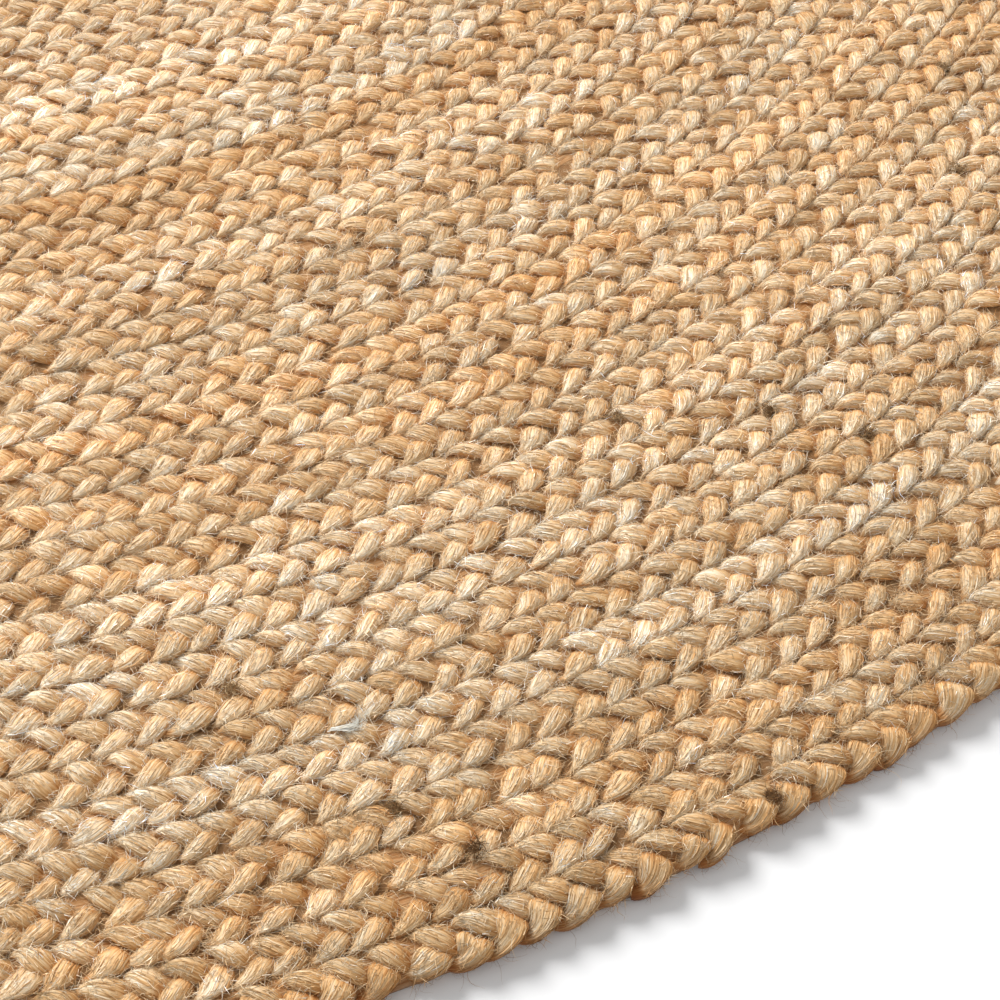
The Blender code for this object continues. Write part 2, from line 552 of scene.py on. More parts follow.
def lobePlace(form, lobes, along, around, lift=0.0):
    # Length along the plait, distance aside of its middle line, and height of points on strands.
    # along is 0 where a lobe comes up at the plait's edge and 0.5 where it dives at the middle
    # line; around is the angle about the strand, 0 on top. All spread to (lobe, along, around).
    width = coil["plaitWidth"]
    side = perLobe(lobes["side"])
    run = plainRun(lobes) * form["steep"]
    spare = 0.5 * strand["lobeLength"] * strand["pitch"] * (1 - form["steep"])
    sharp = form["sharpness"]
    reach = side * form["reach"] * width / (1 + sharp)
    turned = math.pi * form["sweep"] * along
    length = perLobe(lobes["begin"]) + spare + along * run
    aside = reach * (np.cos(turned) + sharp * np.cos(3 * turned)) + perLobe(lobes["aside"])
    aside = aside + perLobe(lobes["lean"]) * width * (along - handLaid["leanFrom"])
    height = strand["lowHeight"] + strand["rise"] * profile(form["rise"], along)
    height = height + perLobe(lobes["up"])

    # Which way the strand runs there, and what is sideward and upward to it
    bend = np.sin(turned) + 3 * sharp * np.sin(3 * turned)
    stepLength = run + 0 * turned
    stepAside = -math.pi * form["sweep"] * reach * bend
    stepHeight = strand["rise"] * profile(form["rise"], along, slope=True)
    whole = np.sqrt(stepLength ** 2 + stepAside ** 2 + stepHeight ** 2)
    level = np.sqrt(stepLength ** 2 + stepAside ** 2)
    sideward = (-stepAside / level, stepLength / level)
    slope = strand["sectionLean"] * stepHeight / whole
    upward = (-slope * stepLength / level, -slope * stepAside / level, level / whole)

    # Its section is lumpy, and in some lobes cleft
    swell = 1
    for number, (size, about, onward) in enumerate(strand["lumps"]):
        phase = aboutATurn * perLobe(lobes["lump"][:, number])
        swell = swell + size * np.sin(about * around + phase + onward * along)
    cleft = around - strand["cleftSpread"] * (perLobe(lobes["lump"][:, 2]) - 0.5)
    cleft = cleft / strand["cleftWidth"]
    swell = swell * (1 - perLobe(lobes["split"]) * np.exp(-cleft * cleft))
    lopsided = 1 - (1 - form["edgeSide"]) * np.sin(around) * side
    halfWide = width * profile(form["width"], along) * perLobe(lobes["wide"]) * swell * lopsided
    halfHigh = width * profile(form["height"], along) * perLobe(lobes["high"]) * swell
    out = (halfWide + lift) * np.sin(around)
    crown = np.cos(around)
    risen = (halfHigh + lift) * np.sign(crown) * np.abs(crown) ** form["fullness"]
    length = length + out * sideward[0] + risen * upward[0]
    aside = aside + out * sideward[1] + risen * upward[1]
    height = height + risen * upward[2]

    if form["pressed"]:
        free = strand["freeAside"] * width
        room = (strand["mostAside"] - strand["freeAside"]) * width
        over = np.maximum(np.abs(aside) - free, 0)
        aside = np.sign(aside) * (np.minimum(np.abs(aside), free) + room * np.tanh(over / room))
    return length, aside, height


def ontoCoil(length, aside, height):
    turn = np.minimum(turnAtLength(length), coil["lastTurn"])
    low = tailShare(turn, coil["tailHeightShare"])
    across = 0.5 + aside / coil["plaitWidth"]
    return coilPoint(turn, across, np.maximum(height * low, coil["lowest"]))


# Where painted shade darkens a strand: from which place along its crossing, or angle off its top,
# and over how much more. Towards its beginning at the edge, places are counted backwards.
lobePaintedShade = {
    "deepShadeSide": (30, 65),  # degrees
    "deepShadeCurve": 1.3,
    "deepShadeEdge": (0.0, 0.14),
    "deepShadeDive": (0.12, 0.45),
    "diveShadeEdge": (0.02, 0.14),
    "diveShadeDive": (0.42, 0.16),
    # the painted shade's colour where a strand dives
    "paintedDiveShade": (0.76, 0.58, 0.42),
}


def paintedDeepShade(along, around):
    # Painted shade: 1 where a strand lies deep between its neighbours, on its steep sides and at
    # its ends
    off = np.abs(np.degrees(around))
    steep = climb(off, *lobePaintedShade["deepShadeSide"]) ** lobePaintedShade["deepShadeCurve"]
    ends = climb(-along, *lobePaintedShade["deepShadeEdge"]) + climb(along, *lobePaintedShade["deepShadeDive"])
    return np.clip(steep + ends, 0, 1)


def paintedDiveShade(along, share):
    # Painted shade: darker brown where a strand dives below another
    end = climb(-along, *lobePaintedShade["diveShadeEdge"]) + climb(along, *lobePaintedShade["diveShadeDive"])
    return 1 - share * end[..., None] * (1 - np.array(lobePaintedShade["paintedDiveShade"]))


def paintedLowShade(height, form):
    # Painted shade: reddish brown and darker towards the floor
    low = np.clip((form["lowShadeTop"] - height) / form["lowShadeTop"], 0, 1)
    return 1 - low * (1 - np.array(form["lowShadeColour"]))


def woundFibres(lobes, along):
    # How far the fibres have turned about the strand, as an angle
    sideways = strand["twist"] * perLobe(lobes["twist"]) * (along - 0.5) * plainRun(lobes)
    return sideways / (strand["windRadius"] * coil["plaitWidth"])


def strandPiece(name, form, lobes, along, around, lift, tint, seed, paintedShadeShare=1.0):
    side = perLobe(lobes["side"])
    points = ontoCoil(*lobePlace(form, lobes, along, around, lift))
    shape = points.shape[:3]
    wound = around * side + woundFibres(lobes, along)
    u = along * plainRun(lobes) * toCentimetres + 0 * around
    v = wound * strand["windRadius"] * coil["plaitWidth"] * toCentimetres
    # Painted shade: darker towards the floor and where the strand dives below another
    dark = paintedLowShade(points[..., 2:], form) * paintedDiveShade(along + 0 * around, paintedShadeShare)
    return meshPiece(
        name, points, [gridFaces(*shape)],
        uv=np.stack(np.broadcast_arrays(u, v), axis=-1),
        seed=np.broadcast_to(perLobe(seed), shape),
        # painted shade where the strand lies deep between its neighbours, on its sides and at its
        # ends
        paintedShade=paintedShadeShare * paintedDeepShade(along, around) * np.ones(shape),
        tint=tint[:, None, None, :] * dark,
    )


# Which lobes are close: those that the photograph's camera sees
closeUp = {
    "margin": 0.012,        # beyond the picture's edge, as a share of its side
    "feather": ((0.05, 0.30), (0.12, 0.12)),  # margin, and the share of its lobes made as finely
    "ahead": 0.4,           # pitches from a lobe's beginning to its middle
    "aside": 0.15,
    "rimTurn": 53.5,        # the last round begins here
}


def inView(points, margin):
    down = cameraView["downFromLevel"]
    away = points - np.array(cameraView["place"])
    depth = away[:, 1] * math.cos(down) - away[:, 2] * math.sin(down)
    upward = away[:, 1] * math.sin(down) + away[:, 2] * math.cos(down)
    scale = cameraView["lens"] / cameraView["sensor"]
    across = np.abs(scale * away[:, 0] / depth)
    along = np.abs(scale * upward / depth)
    return (across < 0.5 + margin) & (along < 0.5 + margin) & (depth > 0)


allLobes = makeLobes()
middles = coilPoint(
    turnAtLength(allLobes["begin"] + closeUp["ahead"] * strand["pitch"]),
    0.5 + closeUp["aside"] * allLobes["side"],
    coil["thickness"],
)
seen = inView(middles, closeUp["margin"])
for margin, share in closeUp["feather"]:
    seen = seen | (inView(middles, margin) & (allLobes["seed"] < share))
rimBegins = lengthAtTurn(closeUp["rimTurn"]) - 0.5 * strand["pitch"]
onRim = (allLobes["side"] > 0) & (allLobes["begin"] > rimBegins)
outer = (allLobes["side"] > 0) & ~onRim
inner = allLobes["side"] < 0
print("%d lobes, %d of them close to the camera" % (len(seen), seen.sum()))

# How finely the lobes are made: at which places along the crossing, and angles about the strand
closeLobes = {
    "along": (-0.22, -0.12, -0.03, 0.07, 0.18, 0.31, 0.43, 0.53, 0.62),
    "around": np.linspace(-120, 120, 7),
    "inPiece": 2000,
    "tint": (1, 1, 1),
    # all of the painted shade on these lobes
    "paintedShade": 1.0,
}

farLobes = {
    "along": (-0.09, 0.10, 0.34, 0.58),
    "around": (-118, 0, 118),
    "inPiece": 9000,
    "tint": (0.975, 0.97, 0.98),  # makes up for the fibres and fuzz, which only close lobes have
    # less painted shade on these coarser lobes
    "paintedShade": 0.30,
}

rimLobes = {
    **closeLobes,
    "along": np.linspace(-0.25, 0.62, 16),
    "around": np.linspace(-150, 150, 14),
}

farRimLobes = {
    **closeLobes,
    "along": (-0.22, -0.06, 0.08, 0.22, 0.40, 0.60),
    "around": (-140, -85, -30, 30, 85, 140),
    "inPiece": 9000,
}

plait = []


def addLobes(name, form, chosen, settings):
    places = np.flatnonzero(chosen)
    along = np.array(settings["along"])[None, :, None]
    around = np.radians(np.array(settings["around"]))[None, None, :]
    for part in range(0, len(places), settings["inPiece"]):
        lobes = pick(allLobes, places[part:part + settings["inPiece"]])
        plait.append(strandPiece(
            "%s_%d" % (name, 1 + part // settings["inPiece"]), form, lobes, along, around, 0.0,
            lobes["tint"] * np.array(settings["tint"]), lobes["seed"], settings["paintedShade"],
        ))


addLobes("outer_close", outerForm, seen & outer, closeLobes)
addLobes("inner_close", innerForm, seen & inner, closeLobes)
addLobes("outer_rounds", outerForm, ~seen & outer, farLobes)
addLobes("inner_rounds", innerForm, ~seen & inner, farLobes)
addLobes("rim_close", rimForm, seen & onRim, rimLobes)
addLobes("rim", rimForm, ~seen & onRim, farRimLobes)
print("lobes laid")


# Flat bundles of fibres on top of each lobe, which break up its surface
fibreStrips = {
    "each": 14,
    "inPiece": 1500,        # lobes
    "spread": 98,           # degrees to either side of the top
    "first": (-0.16, 0.10),  # where they begin and end along the crossing
    "last": (0.36, 0.60),
    "steps": 3,
    "drift": 9,             # degrees
    "wave": 3,
    "waveTurns": 5,         # radians
    "halfWidth": (1.2, 3.4),  # degrees
    "tip": 0.06,
    "lift": (0.00003, 0.00022),
    "tipLift": 0.3,
    "tuck": 0.0002,         # how deep the two ends go
    "tilt": 0.00007,
    "looseShare": 0.2,
    "looseLift": 0.0010,
    "lightness": (0, 0.15),
    "darkRed": -0.25,
    "redness": 0.06,
    "seed": 100,
}

rimStrips = {
    **fibreStrips,
    "each": 34,
    "spread": 135,
    "first": (-0.22, 0.05),
    "steps": 7,
    "seed": 200,
}


def varied(tint, settings, random):
    # Lighter and darker fibres, of which the darker are redder
    total = len(tint)
    light = random.normal(*settings["lightness"], total)
    red = settings["darkRed"] * light + random.normal(0, settings["redness"], total)
    return tint * shadeOf(light, red)


def stripPiece(name, form, lobes, settings, seed):
    random = np.random.default_rng(seed)
    count, each = len(lobes["side"]), settings["each"]
    total = each * count
    lobes = pick(lobes, np.repeat(np.arange(count), each))
    share = (np.tile(np.arange(each), count) + random.random(total)) / each * 2 - 1
    middle = np.radians(settings["spread"]) * share
    first = random.uniform(*settings["first"], total)
    last = random.uniform(*settings["last"], total)
    steps = np.linspace(0, 1, settings["steps"] + 1)[None, :, None]
    bow = 4 * steps * (1 - steps)  # 0 at the ends and 1 halfway
    off = 2 * steps - 1            # from -1 at one end to 1 at the other
    along = perLobe(first) + perLobe(last - first) * steps
    drift = perLobe(random.normal(0, np.radians(settings["drift"]), total))
    phase = aboutATurn * perLobe(random.random(total)) + settings["waveTurns"] * steps
    wave = np.radians(settings["wave"]) * np.sin(phase)
    around = perLobe(middle) + drift * (steps - 0.5) + wave
    around = perLobe(lobes["side"]) * (around - woundFibres(lobes, along))
    half = np.radians(perLobe(random.uniform(*settings["halfWidth"], total)))
    half = half * np.sqrt(np.clip(bow, settings["tip"], 1))
    across = np.array([-1.0, 1.0])[None, None, :]
    up = perLobe(random.uniform(*settings["lift"], total))
    isLoose = random.random(total) < settings["looseShare"]
    loose = perLobe(np.where(isLoose, settings["looseLift"], 0))
    loose = loose * perLobe(random.random(total)) * np.clip(steps * 3 - 2, 0, 1) ** 2
    tilt = perLobe(random.normal(0, settings["tilt"], total))
    lift = up * np.clip(bow + settings["tipLift"], 0, 1) - settings["tuck"] * off ** 6
    lift = lift + loose + tilt * across * (1 - off ** 4)
    tint = varied(lobes["tint"], settings, random)
    around = around + half * across
    return strandPiece(name, form, lobes, along, around, lift, tint, random.random(total))


def addStrips(name, form, chosen, settings):
    places = np.flatnonzero(chosen)
    for part in range(0, len(places), settings["inPiece"]):
        number = 1 + part // settings["inPiece"]
        lobes = pick(allLobes, places[part:part + settings["inPiece"]])
        fullName = "%s_%d" % (name, number)
        plait.append(stripPiece(fullName, form, lobes, settings, settings["seed"] + number))


addStrips("outer_fibres", outerForm, seen & outer, fibreStrips)
addStrips("inner_fibres", innerForm, seen & inner, fibreStrips)
addStrips("rim_fibres", rimForm, seen & onRim, rimStrips)
print("raised fibres laid")


# What all loose fibres have in common
hair = {
    "sway": 3,              # radians of the second bend
    "corner": (0.5, 0.25),  # where a sharp bend begins, and over how much of the length
    "arch": (1.2, 1.9),     # radians that the least arched goes through, and how many more some do
    "clear": 0.00005,
    "patternHalfWidth": 0.05,  # centimetres
    "ahead": 0.02,          # along the crossing, to see which way the fibres run
    "paintedShadeTop": 0.0104,      # painted shade, darker from here down
    "paintedShadeSpeed": 3,         # times quicker than down to the floor
    # painted shade: what the lowest hairs are multiplied by
    "dark": (0.86, 0.71, 0.53),
}


def anyWay(random, total):
    return random.uniform(0, aboutATurn, total)


def hairPiece(name, start, heading, settings, random, tint, form=outerForm, material=fibreMaterial):
    # Narrow ribbons that curl over the plait, from a start in coil coordinates
    total = len(heading)
    steps = np.linspace(0, 1, settings["steps"] + 1)[None, :]
    long = random.uniform(*settings["length"], total)[:, None]
    bend = random.normal(0, settings["turning"], (total, 3))
    way = heading[:, None] + bend[:, :1] * steps
    way = way + bend[:, 1:2] * np.sin(hair["sway"] * steps) ** 2
    way = way + settings.get("corner", 0.0) * climb(steps, *hair["corner"])
    stride = long / settings["steps"]
    forth, sideways = stride * np.cos(way), stride * np.sin(way)
    length = start[0][:, None] + np.cumsum(forth, axis=1) - forth
    aside = start[1][:, None] + np.cumsum(sideways, axis=1) - sideways
    arch = random.uniform(*settings["height"], total)[:, None]
    least, more = hair["arch"]
    arch = arch * np.sin(steps * (least + more * random.random(total)[:, None]))
    height = start[2][:, None] + arch + hair["clear"]
    half = random.uniform(*settings["halfWidth"], total)[:, None] * (1 - steps ** 2)
    across = np.array([-1.0, 1.0])[None, None, :]
    points = ontoCoil(
        length[..., None] - across * (half * np.sin(way))[..., None],
        aside[..., None] + across * (half * np.cos(way))[..., None],
        height[..., None] + 0 * across,
    )
    u = (steps * long * toCentimetres)[..., None] + 0 * across
    uv = np.stack([u, hair["patternHalfWidth"] * across + 0 * u], axis=-1)

    # Each ends in a point, so the last of its points is left out
    corners = 2 * settings["steps"] + 1
    points = points.reshape(total, -1, 3)[:, :corners]
    uv = uv.reshape(total, -1, 2)[:, :corners]
    first = corners * np.arange(total)[:, None]
    faces = [first + np.array([[corners - 3, corners - 1, corners - 2]])]
    if settings["steps"] > 1:
        here = 2 * np.arange(settings["steps"] - 1)[None, :] + first
        quads = np.stack([here, here + 2, here + 3, here + 1], axis=-1).reshape(-1, 4)
        faces.insert(0, quads)

    seed = np.broadcast_to(random.random(total)[:, None], points.shape[:2])
    height = points[..., 2:]
    # Painted shade: the lower a hair lies, the darker and browner it is
    low = np.clip((hair["paintedShadeTop"] - height) / hair["paintedShadeTop"] * hair["paintedShadeSpeed"], 0, 1)
    dark = paintedLowShade(height, form) * (1 - low * (1 - np.array(hair["dark"])))
    return meshPiece(
        name, points, faces, uv, seed, paintedShade=0 * seed, tint=tint[:, None, :] * dark,
        material=material,
    )


def spotOn(form, lobes, along, around):
    # Where a point of each lobe lies, and which way the fibres run there
    along, around = perLobe(along), perLobe(around)
    here = lobePlace(form, lobes, along, around)
    onward = lobePlace(form, lobes, along + hair["ahead"], around)
    here = [part[:, 0, 0] for part in np.broadcast_arrays(*here)]
    onward = [part[:, 0, 0] for part in np.broadcast_arrays(*onward)]
    return here, np.arctan2(onward[1] - here[1], onward[0] - here[0])


wisps = {
    "each": 4,
    "along": (0.0, 0.5),
    "around": (-80, 80),
    "stray": 0.35,          # radians off the lobe's own fibres
    "anyWayShare": 0.25,    # and this many go any way
    "length": (0.004, 0.013),
    "halfWidth": (0.00007, 0.00013),
    "turning": 0.9,
    "steps": 4,
    "height": (0.0001, 0.0014),
    "lightness": (0.12, 0.18),
    "darkRed": -0.2,
    "redness": 0.08,
    "seed": 7,
}

fuzz = {
    "each": 138,
    "along": (-0.12, 0.58),
    "around": (-100, 100),
    "stray": 0.45,
    "anyWayShare": 0.50,
    "length": (0.0018, 0.0055),
    "halfWidth": (0.00008, 0.00018),
    "turning": 0.0,
    "steps": 1,
    "height": (0.0, 0.0013),
    "lightness": (-0.02, 0.27),
    "darkRed": -0.2,
    "redness": 0.08,
    "seed": 9,
}


def addHairs(name, form, chosen, settings):
    random = np.random.default_rng(settings["seed"])
    lobes = pick(allLobes, np.repeat(np.flatnonzero(chosen), settings["each"]))
    total = len(lobes["side"])
    along = random.uniform(*settings["along"], total)
    around = np.radians(random.uniform(*settings["around"], total))
    start, heading = spotOn(form, lobes, along, around)
    heading = heading + random.normal(0, settings["stray"], total)
    heading = heading + math.pi * (random.random(total) < 0.5)
    astray = random.random(total) < settings["anyWayShare"]
    heading = heading + np.where(astray, anyWay(random, total), 0)
    tint = varied(lobes["tint"], settings, random)
    plait.append(hairPiece(name, start, heading, settings, random, tint, form))


for name, form, chosen in (
    ("outer", outerForm, seen & outer),
    ("inner", innerForm, seen & inner),
    ("rim", rimForm, seen & onRim),
):
    addHairs(name + "_wisps", form, chosen, wisps)
    addHairs(name + "_fuzz", form, chosen, fuzz)


# Long hairs that lie over the rounds
flyaways = {
    "count": 420,
    "along": (0.1, 0.5),
    "around": (-60, 60),
    "lowest": 0.0105,
    "length": (0.015, 0.045),
    "halfWidth": (0.00005, 0.00009),
    "turning": 1.6,
    "steps": 10,
    "height": (0.0004, 0.0040),
    "lightness": (0.05, 0.2),
    "seed": 8,
}


def addFlyaways():
    random = np.random.default_rng(flyaways["seed"])
    total = flyaways["count"]
    lobes = pick(allLobes, random.choice(np.flatnonzero(seen), total))
    along = random.uniform(*flyaways["along"], total)
    around = np.radians(random.uniform(*flyaways["around"], total))
    start, _ = spotOn(outerForm, lobes, along, around)
    start[2] = np.maximum(start[2], flyaways["lowest"])
    heading = anyWay(random, total)
    tint = lobes["tint"] * (1 + random.normal(*flyaways["lightness"], total))[:, None]
    plait.append(hairPiece("plait_flyaways", start, heading, flyaways, random, tint))


addFlyaways()


# Short hairs that stand out from the rim, over the floor
fringe = {
    "each": 12,
    "farEach": 3,
    "along": (-0.15, 0.2),
    "around": (0, 120),
    "heading": (math.pi / 2, 0.7),
    "length": (0.0020, 0.0110),
    "halfWidth": (0.00003, 0.00007),
    "turning": 1.9,
    "steps": 5,
    "height": (-0.0012, 0.0010),
    "lightness": (0.5, 1.1),
    "colour": (1.0, 0.95, 0.88),
    "seed": 10,
}


def addFringe(name, chosen, each):
    random = np.random.default_rng(fringe["seed"])
    lobes = pick(allLobes, np.repeat(np.flatnonzero(chosen), each))
    total = len(lobes["side"])
    along = random.uniform(*fringe["along"], total)
    around = np.radians(random.uniform(*fringe["around"], total))
    start, _ = spotOn(rimForm, lobes, along, around)
    heading = random.normal(*fringe["heading"], total)
    tint = lobes["tint"] * random.uniform(*fringe["lightness"], total)[:, None]
    tint = tint * np.array(fringe["colour"])
    plait.append(hairPiece(name, start, heading, fringe, random, tint))


addFringe("rim_fringe_close", seen & onRim, fringe["each"])
addFringe("rim_fringe", ~seen & onRim, fringe["farEach"])


# Places where the fibres are matted over the lobes
mats = {
    "count": 60,
    "each": 110,
    "along": 0.25,
    "size": (0.004, 0.010),
    "slimness": 0.6,        # across the plait
    "level": (0.0092, 0.0008),
    "length": (0.003, 0.009),
    "halfWidth": (0.00006, 0.00015),
    "turning": 0.9,
    "steps": 2,
    "height": (0.0, 0.0012),
    "lightness": 0.25,
    "seed": 11,
}


def addMats():
    random = np.random.default_rng(mats["seed"])
    total = mats["count"] * mats["each"]
    centres = random.choice(np.flatnonzero(seen & ~onRim), mats["count"])
    lobes = pick(allLobes, np.repeat(centres, mats["each"]))
    start, _ = spotOn(outerForm, lobes, np.full(total, mats["along"]), np.zeros(total))
    size = np.repeat(random.uniform(*mats["size"], mats["count"]), mats["each"])
    level, spread = mats["level"]
    start[0] = start[0] + size * random.normal(0, 1, total)
    start[1] = start[1] + mats["slimness"] * size * random.normal(0, 1, total)
    start[2] = level + random.normal(0, spread, total)
    tint = lobes["tint"] * (1 + random.normal(0.0, mats["lightness"], total))[:, None]
    heading = anyWay(random, total)
    plait.append(hairPiece("plait_mats", start, heading, mats, random, tint))


addMats()


# Fibres that bridge the grooves and the plait's middle line
bridges = {
    "each": 12,
    "middleShare": 0.4,     # this many lie at the middle line
    "middleAside": 0.05,
    "middleLevel": 0.0090,
    "grooveAside": 0.5,
    "grooveLevel": 0.0086,
    "levelSpread": 0.0006,
    "along": (-0.5, 1.2),   # pitches
    "asideSpread": 0.0009,
    "length": (0.0020, 0.0065),
    "halfWidth": (0.00007, 0.00016),
    "turning": 0.0,
    "steps": 1,
    "height": (-0.0004, 0.0010),
    "lightness": (-0.05, 0.22),
    "darkRed": -0.2,
    "redness": 0.08,
    "seed": 12,
}


def addBridges():
    random = np.random.default_rng(bridges["seed"])
    lobes = pick(allLobes, np.repeat(np.flatnonzero(seen & ~onRim), bridges["each"]))
    total = len(lobes["side"])
    middle = random.random(total) < bridges["middleShare"]
    aside = np.where(middle, bridges["middleAside"], bridges["grooveAside"]) * coil["plaitWidth"]
    level = np.where(middle, bridges["middleLevel"], bridges["grooveLevel"])
    start = [
        lobes["begin"] + random.uniform(*bridges["along"], total) * strand["pitch"],
        lobes["side"] * aside + random.normal(0, bridges["asideSpread"], total),
        level + random.normal(0, bridges["levelSpread"], total),
    ]
    tint = varied(lobes["tint"], bridges, random)
    heading = anyWay(random, total)
    plait.append(hairPiece("plait_bridges", start, heading, bridges, random, tint))


addBridges()


# Dark tufts: two that show near the rim, and paler ones anywhere
tufts = {
    "places": ((156.445, 0.80), (168.715, 0.53)),  # metres along the plait, and across it
    "strays": 8,
    "strayAside": 0.3,
    "each": 110,
    "size": 0.0017,
    "level": (0.0100, 0.0007),
    "length": (0.0025, 0.0065),
    "halfWidth": (0.00009, 0.00022),
    "turning": 2.6,
    "steps": 4,
    "height": (0.0, 0.0012),
    "darkness": (-2.1, -0.9),
    "strayPaleness": (0.4, 1.0),  # how far a stray is between these two
    "mottling": 0.3,
    "darkRed": -0.28,
    "seed": 13,
}


def addTufts():
    random = np.random.default_rng(tufts["seed"])
    width, each = coil["plaitWidth"], tufts["each"]
    strays = random.choice(np.flatnonzero(seen & ~onRim), tufts["strays"])
    lengths, acrosses = np.array(tufts["places"]).T
    lengths = np.append(lengths, allLobes["begin"][strays])
    strayAsides = tufts["strayAside"] * width * allLobes["side"][strays]
    asides = np.append((acrosses - 0.5) * width, strayAsides)
    total = len(lengths) * each
    paleness = random.uniform(*tufts["strayPaleness"], tufts["strays"])
    paleness = np.append(np.zeros(len(tufts["places"])), paleness)
    darkest, palest = tufts["darkness"]
    dark = darkest + (palest - darkest) * paleness
    level, spread = tufts["level"]
    start = [
        np.repeat(lengths, each) + random.normal(0, tufts["size"], total),
        np.repeat(asides, each) + random.normal(0, tufts["size"], total),
        level + random.normal(0, spread, total),
    ]
    light = np.repeat(dark, each) + random.normal(0, tufts["mottling"], total)
    tint = shadeOf(light, tufts["darkRed"] * light)
    heading = anyWay(random, total)
    plait.append(hairPiece("plait_tufts", start, heading, tufts, random, tint))


addTufts()


# A bit of white thread that has come up out of a groove, with a bend in it
stitch = {
    "place": (139.030, 0.00),  # metres along the plait, and across it
    "each": 48,
    "size": (0.0009, 0.0004),
    "level": 0.0104,
    "levelSpread": 0.0006,
    "heading": (math.radians(16), 0.07),
    "corner": math.radians(-106),
    "length": (0.010, 0.017),
    "halfWidth": (0.00011, 0.00022),
    "turning": 0.22,
    "steps": 9,
    "height": (0.0001, 0.0008),
    "lightness": (0.9, 1.0),
    "seed": 14,
}


def addStitch():
    random = np.random.default_rng(stitch["seed"])
    total = stitch["each"]
    length, across = stitch["place"]
    aside = (across - 0.5) * coil["plaitWidth"]
    start = [
        length + random.normal(0, stitch["size"][0], total),
        aside + random.normal(0, stitch["size"][1], total),
        stitch["level"] + random.uniform(0, stitch["levelSpread"], total),
    ]
    middle, spread = stitch["heading"]
    heading = middle + random.normal(0, spread, total)
    tint = np.ones((total, 3)) * random.uniform(*stitch["lightness"], total)[:, None]
    plait.append(hairPiece(
        "white_thread", start, heading, stitch, random, tint, material=threadMaterial,
    ))


addStitch()
print("loose fibres laid")


# The folded start of the plait, a small knob of three lobes at the coil's middle
knob = {
    "lobes": 3,
    "radius": (-0.0020, 0.0125),
    "curl": 1.1,            # radians that a lobe turns from the middle outwards
    "height": 0.0060,
    "rise": 0.0012,
    "halfWidth": 0.0056,
    "halfHeight": 0.0034,
    "around": 115,          # degrees
    "ends": (0.06, 0.88),   # how blunt they are: 0 and 1 would be a full half wave
    "rows": 11,
    "columns": 11,
    "paintedShadeAlong": 0.1,          # the place along a lobe that its painted shade is taken from
    "tint": (0.90, 0.90, 0.90),
}


def makeKnob():
    count, rows, columns = knob["lobes"], knob["rows"], knob["columns"]
    number = perLobe(np.arange(count))
    along = np.linspace(0, 1, rows)[None, :, None]
    around = np.radians(np.linspace(-knob["around"], knob["around"], columns))[None, None, :]
    turned = 2 * math.pi * number / count + knob["curl"] * along
    inward, outward = knob["radius"]
    radius = inward + (outward - inward) * along
    first, last = knob["ends"]
    full = np.sqrt(np.clip(np.sin(math.pi * (first + last * along)), 0, 1))
    across = knob["halfWidth"] * full * np.sin(around)
    heading = turned + 0.5 * knob["curl"] * along
    x = radius * np.cos(turned) - across * np.sin(heading) - coilMiddle[0]
    y = radius * np.sin(turned) + across * np.cos(heading) - coilMiddle[1]
    height = knob["height"] + knob["rise"] * np.sin(math.pi * along)
    height = height + knob["halfHeight"] * full * np.cos(around)
    points = np.stack(np.broadcast_arrays(x, y, height), axis=-1)
    shape = points.shape[:3]
    u = along * (outward - inward) * toCentimetres + 0 * x
    v = around * knob["halfWidth"] * toCentimetres + 0 * x
    return meshPiece(
        "plait_start", points, [gridFaces(count, rows, columns)],
        uv=np.stack([u, v], axis=-1),
        seed=np.broadcast_to(knob["paintedShadeAlong"] + number / count, shape),
        # painted shade on the knob's sides
        paintedShade=paintedDeepShade(0 * along + knob["paintedShadeAlong"], around) * np.ones(shape),
        tint=np.ones((*shape, 1)) * np.array(knob["tint"]),
    )


plait.append(makeKnob())


# The hidden inside of the coil, which closes the rug below the lobes
under = {
    "stepsInTurn": 96,
    "startTurn": 0.15,
    "endSlack": 1e-6,       # turns, so that the last step isn't lost to rounding
    "grooveHeight": 0.0076,
    "crestHeight": 0.0079,
    "edge": 0.925,          # across the last round
    "edgeHeight": 0.0042,
    "footEdge": 0.89,
    "endTurns": 0.03,
    "endInside": 0.14,
    "centreHeight": 0.0060,
    # the inside's jute, its own colour darkened as painted shade where it shows between lobes
    "tint": (0.55, 0.37, 0.235),
    # painted shade in the notches between the rim's lobes
    "edgeShadeTint": (0.34, 0.20, 0.12),
}


